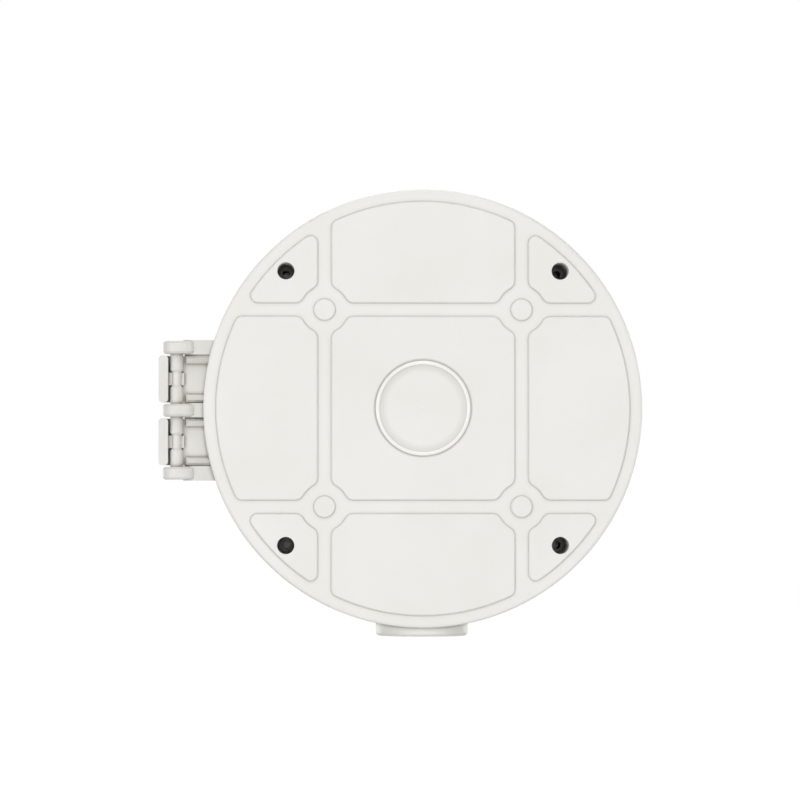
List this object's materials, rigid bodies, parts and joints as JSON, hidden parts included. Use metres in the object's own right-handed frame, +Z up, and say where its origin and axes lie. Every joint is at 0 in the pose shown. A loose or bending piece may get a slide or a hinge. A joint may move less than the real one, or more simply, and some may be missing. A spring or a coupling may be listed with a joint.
{
  "type": "camera junction box",
  "caption": "Round white plastic junction box that carries a security camera: panelled wall-side base with a conduit entry, and a lid on clip-on side hinges.",
  "frame": {"origin": "centre of the round wall face, in the plane that touches the wall", "axes": "+Z up with the conduit boss pointing down, +Y away from the wall towards the lid, +X to the right as seen from the wall, hinge at -X"},
  "size_m": [0.1673, 0.051, 0.1538],
  "materials": {
    "white_plastic": "fine satin moulded",
    "gasket_rubber": "matte",
    "grommet_rubber": "matte",
    "steel": "bright zinc",
    "brass": "turned, satin"
  },
  "bodies": {
    "base_body": {"base": "white_plastic"},
    "lid_body": {"lid": "white_plastic", "lid_gasket": "gasket_rubber", "cable_grommet": "grommet_rubber", "lid_screw_top_left": "steel", "lid_screw_top_right": "steel", "lid_screw_bottom_right": "steel", "lid_screw_bottom_left": "steel", "camera_insert_right": "brass", "camera_insert_bottom": "brass", "camera_insert_left": "brass", "camera_insert_top": "brass"}
  },
  "joints": [
    {"name": "lid_hinge", "type": "hinge", "parent": "base_body", "child": "lid_body", "pos_m": [-0.0853, 0.0354, 0], "axis": [0, 0, 1], "range_deg": [0, 180]}
  ]
}
